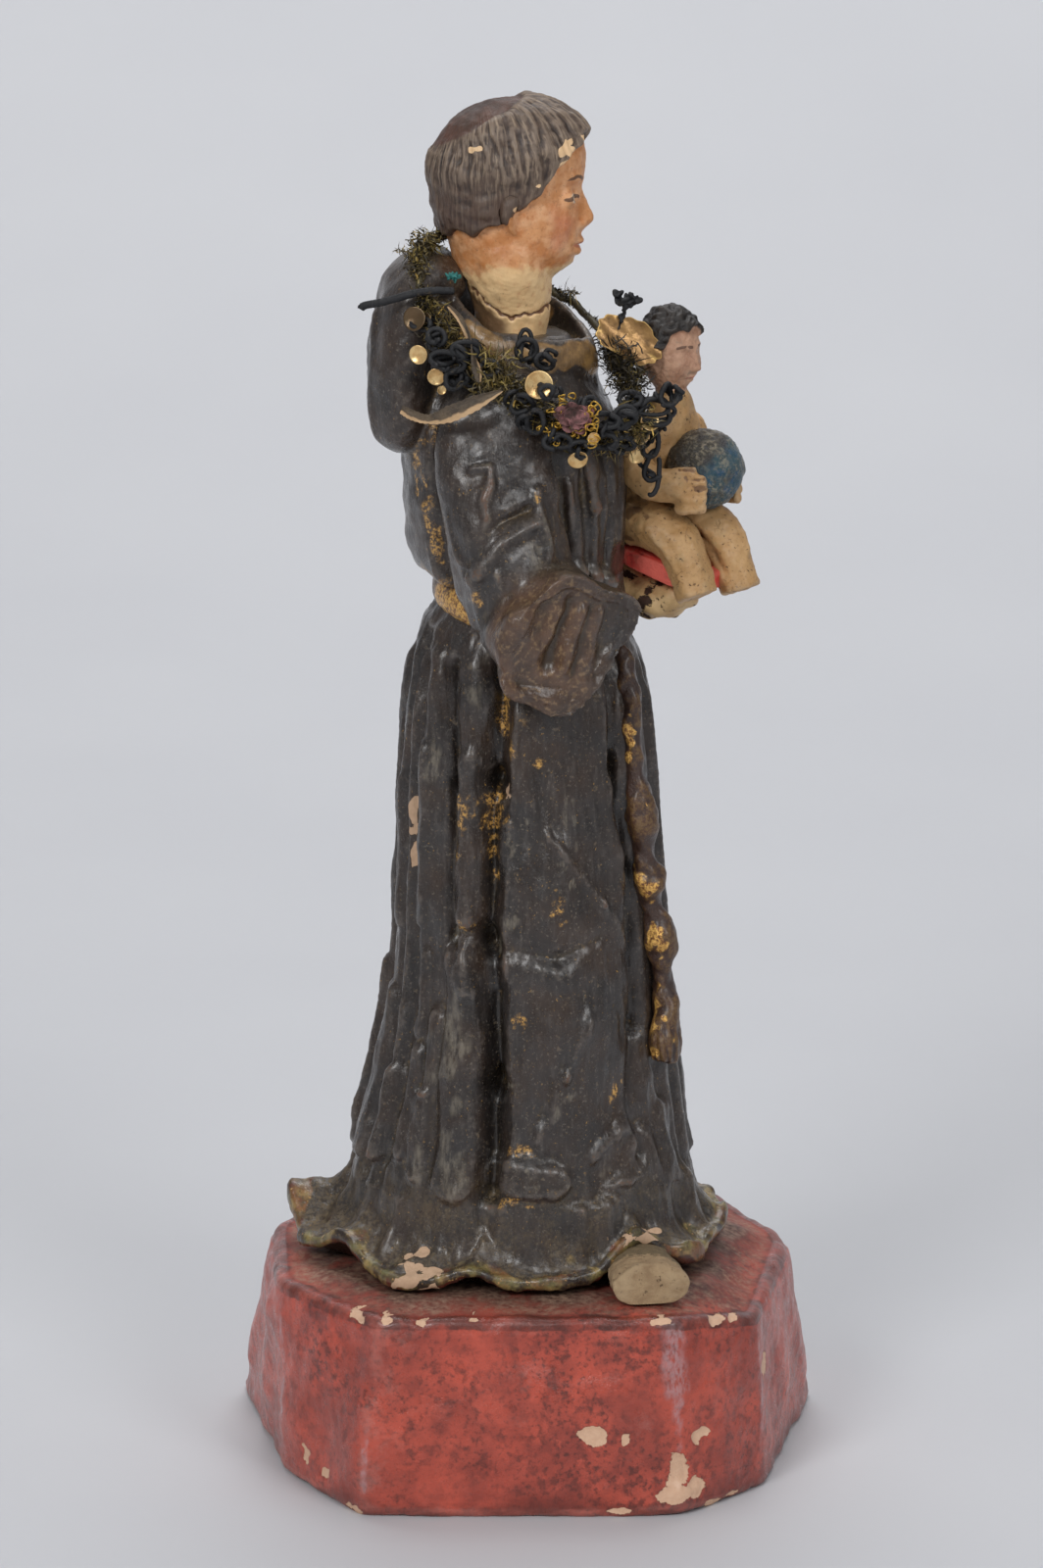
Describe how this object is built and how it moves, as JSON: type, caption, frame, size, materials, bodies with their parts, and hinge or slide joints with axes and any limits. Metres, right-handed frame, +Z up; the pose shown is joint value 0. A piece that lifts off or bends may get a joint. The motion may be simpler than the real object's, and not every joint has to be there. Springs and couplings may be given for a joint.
{
  "type": "terracotta saint statue",
  "caption": "Standing friar saint in a hooded habit with a seated child on the left arm, on an octagonal plinth, with a wire and sequin garland round the neck.",
  "frame": {"origin": "on the plinth's flat underside, at the middle of the object's bounding box", "axes": "+Z up, +X the way the saint faces, -Y his right-hand side"},
  "size_m": [0.1185, 0.1038, 0.2808],
  "materials": {
    "plinth_paint": "satin",
    "habit_paint": "satin",
    "flesh_paint": "satin",
    "chenille": "matte",
    "petal": "matte",
    "gilt": "polished",
    "ribbon": "matte",
    "wire": "matte"
  },
  "bodies": {
    "root": {"plinth": "plinth_paint", "saint": "habit_paint", "christ_child": "flesh_paint", "garland_ring": "chenille", "garland_flower": "petal", "garland_gilt_leaf": "gilt", "garland_ribbon_leaf": "ribbon", "garland_sequin_1": "gilt", "garland_sequin_2": "gilt", "garland_sequin_3": "gilt", "garland_sequin_4": "gilt", "garland_sequin_5": "gilt", "garland_wire_loop_1": "wire", "garland_wire_loop_2": "wire", "garland_wire_loop_3": "wire", "garland_wire_loop_4": "wire", "garland_wire_loop_5": "wire", "garland_wire_loop_6": "wire", "garland_wire_loop_7": "wire"}
  },
  "joints": []
}
